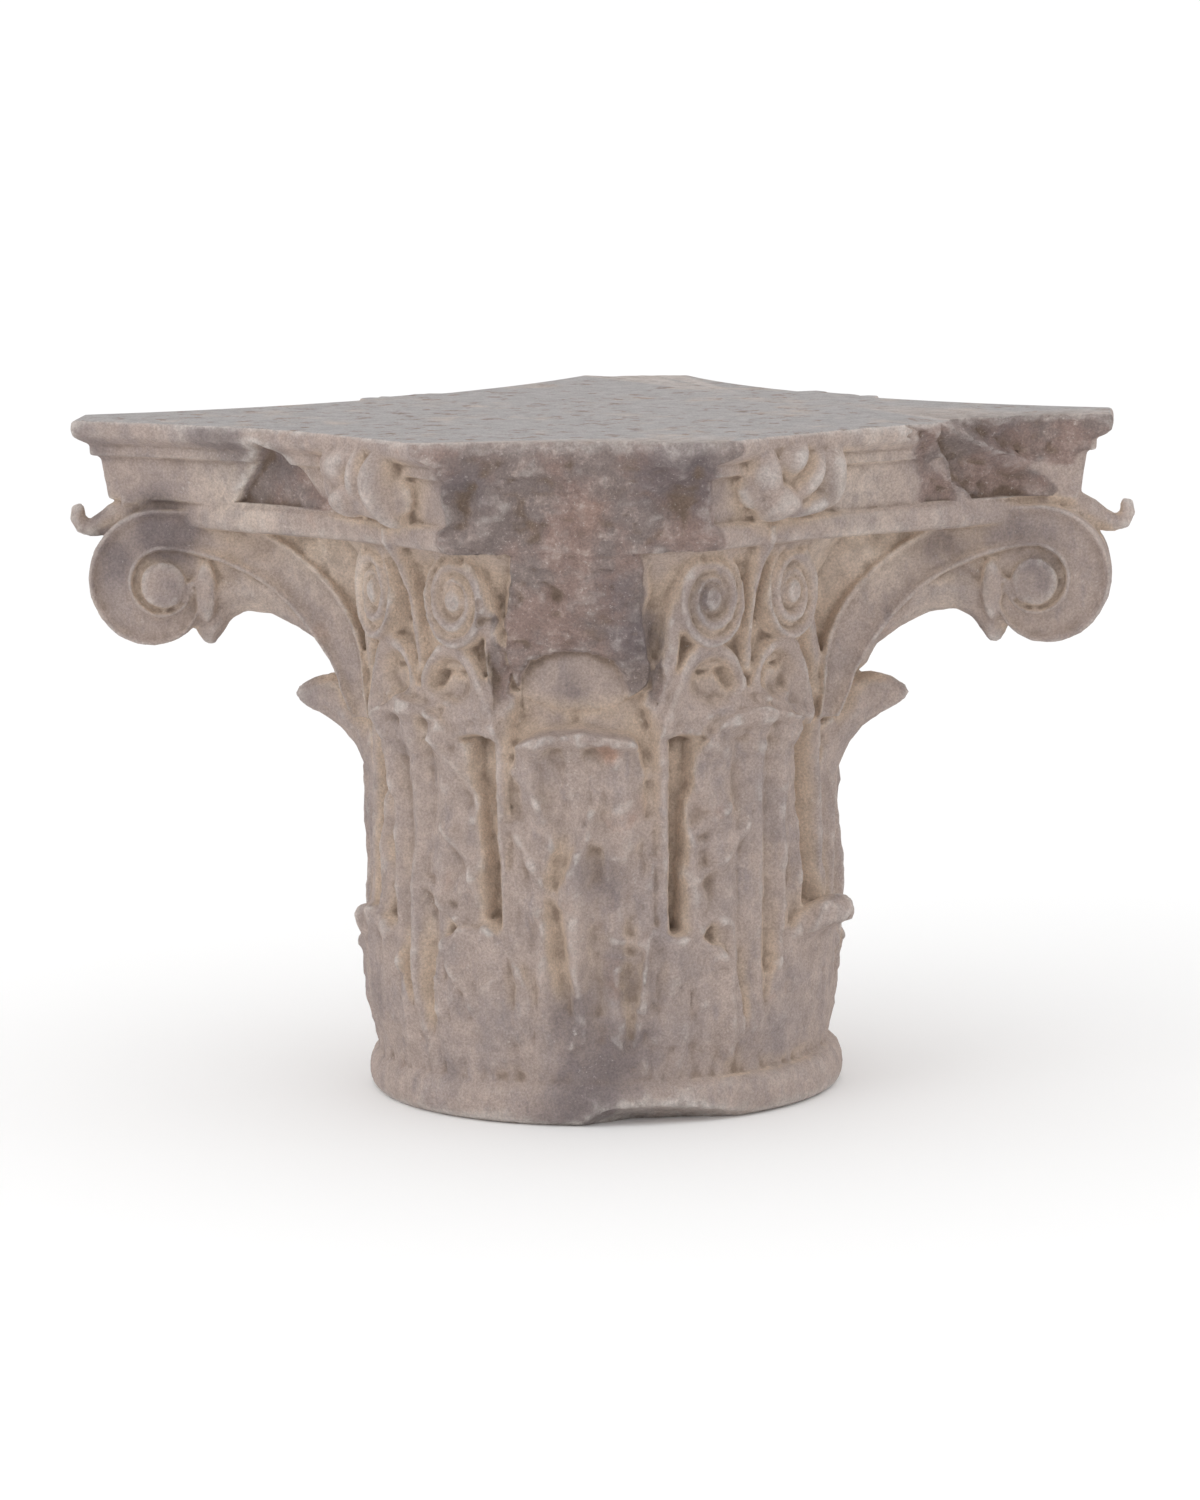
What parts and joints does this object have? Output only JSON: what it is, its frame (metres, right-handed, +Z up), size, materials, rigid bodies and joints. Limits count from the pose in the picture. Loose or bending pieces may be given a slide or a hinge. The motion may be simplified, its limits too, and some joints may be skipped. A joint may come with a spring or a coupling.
{
  "type": "column capital",
  "caption": "Worn stone column capital with leaf carving round a bell, corner scrolls and a hollow-sided top slab, one corner broken away.",
  "frame": {"origin": "centre of the flat lower bed", "axes": "+Z up the column; the slab's sides face along X and Y; the broken corner is between +X and -Y"},
  "size_m": [0.7476, 0.7496, 0.638],
  "materials": {
    "worn_stone": "weathered, matt"
  },
  "bodies": {
    "root": {"capital": "worn_stone"}
  },
  "joints": []
}
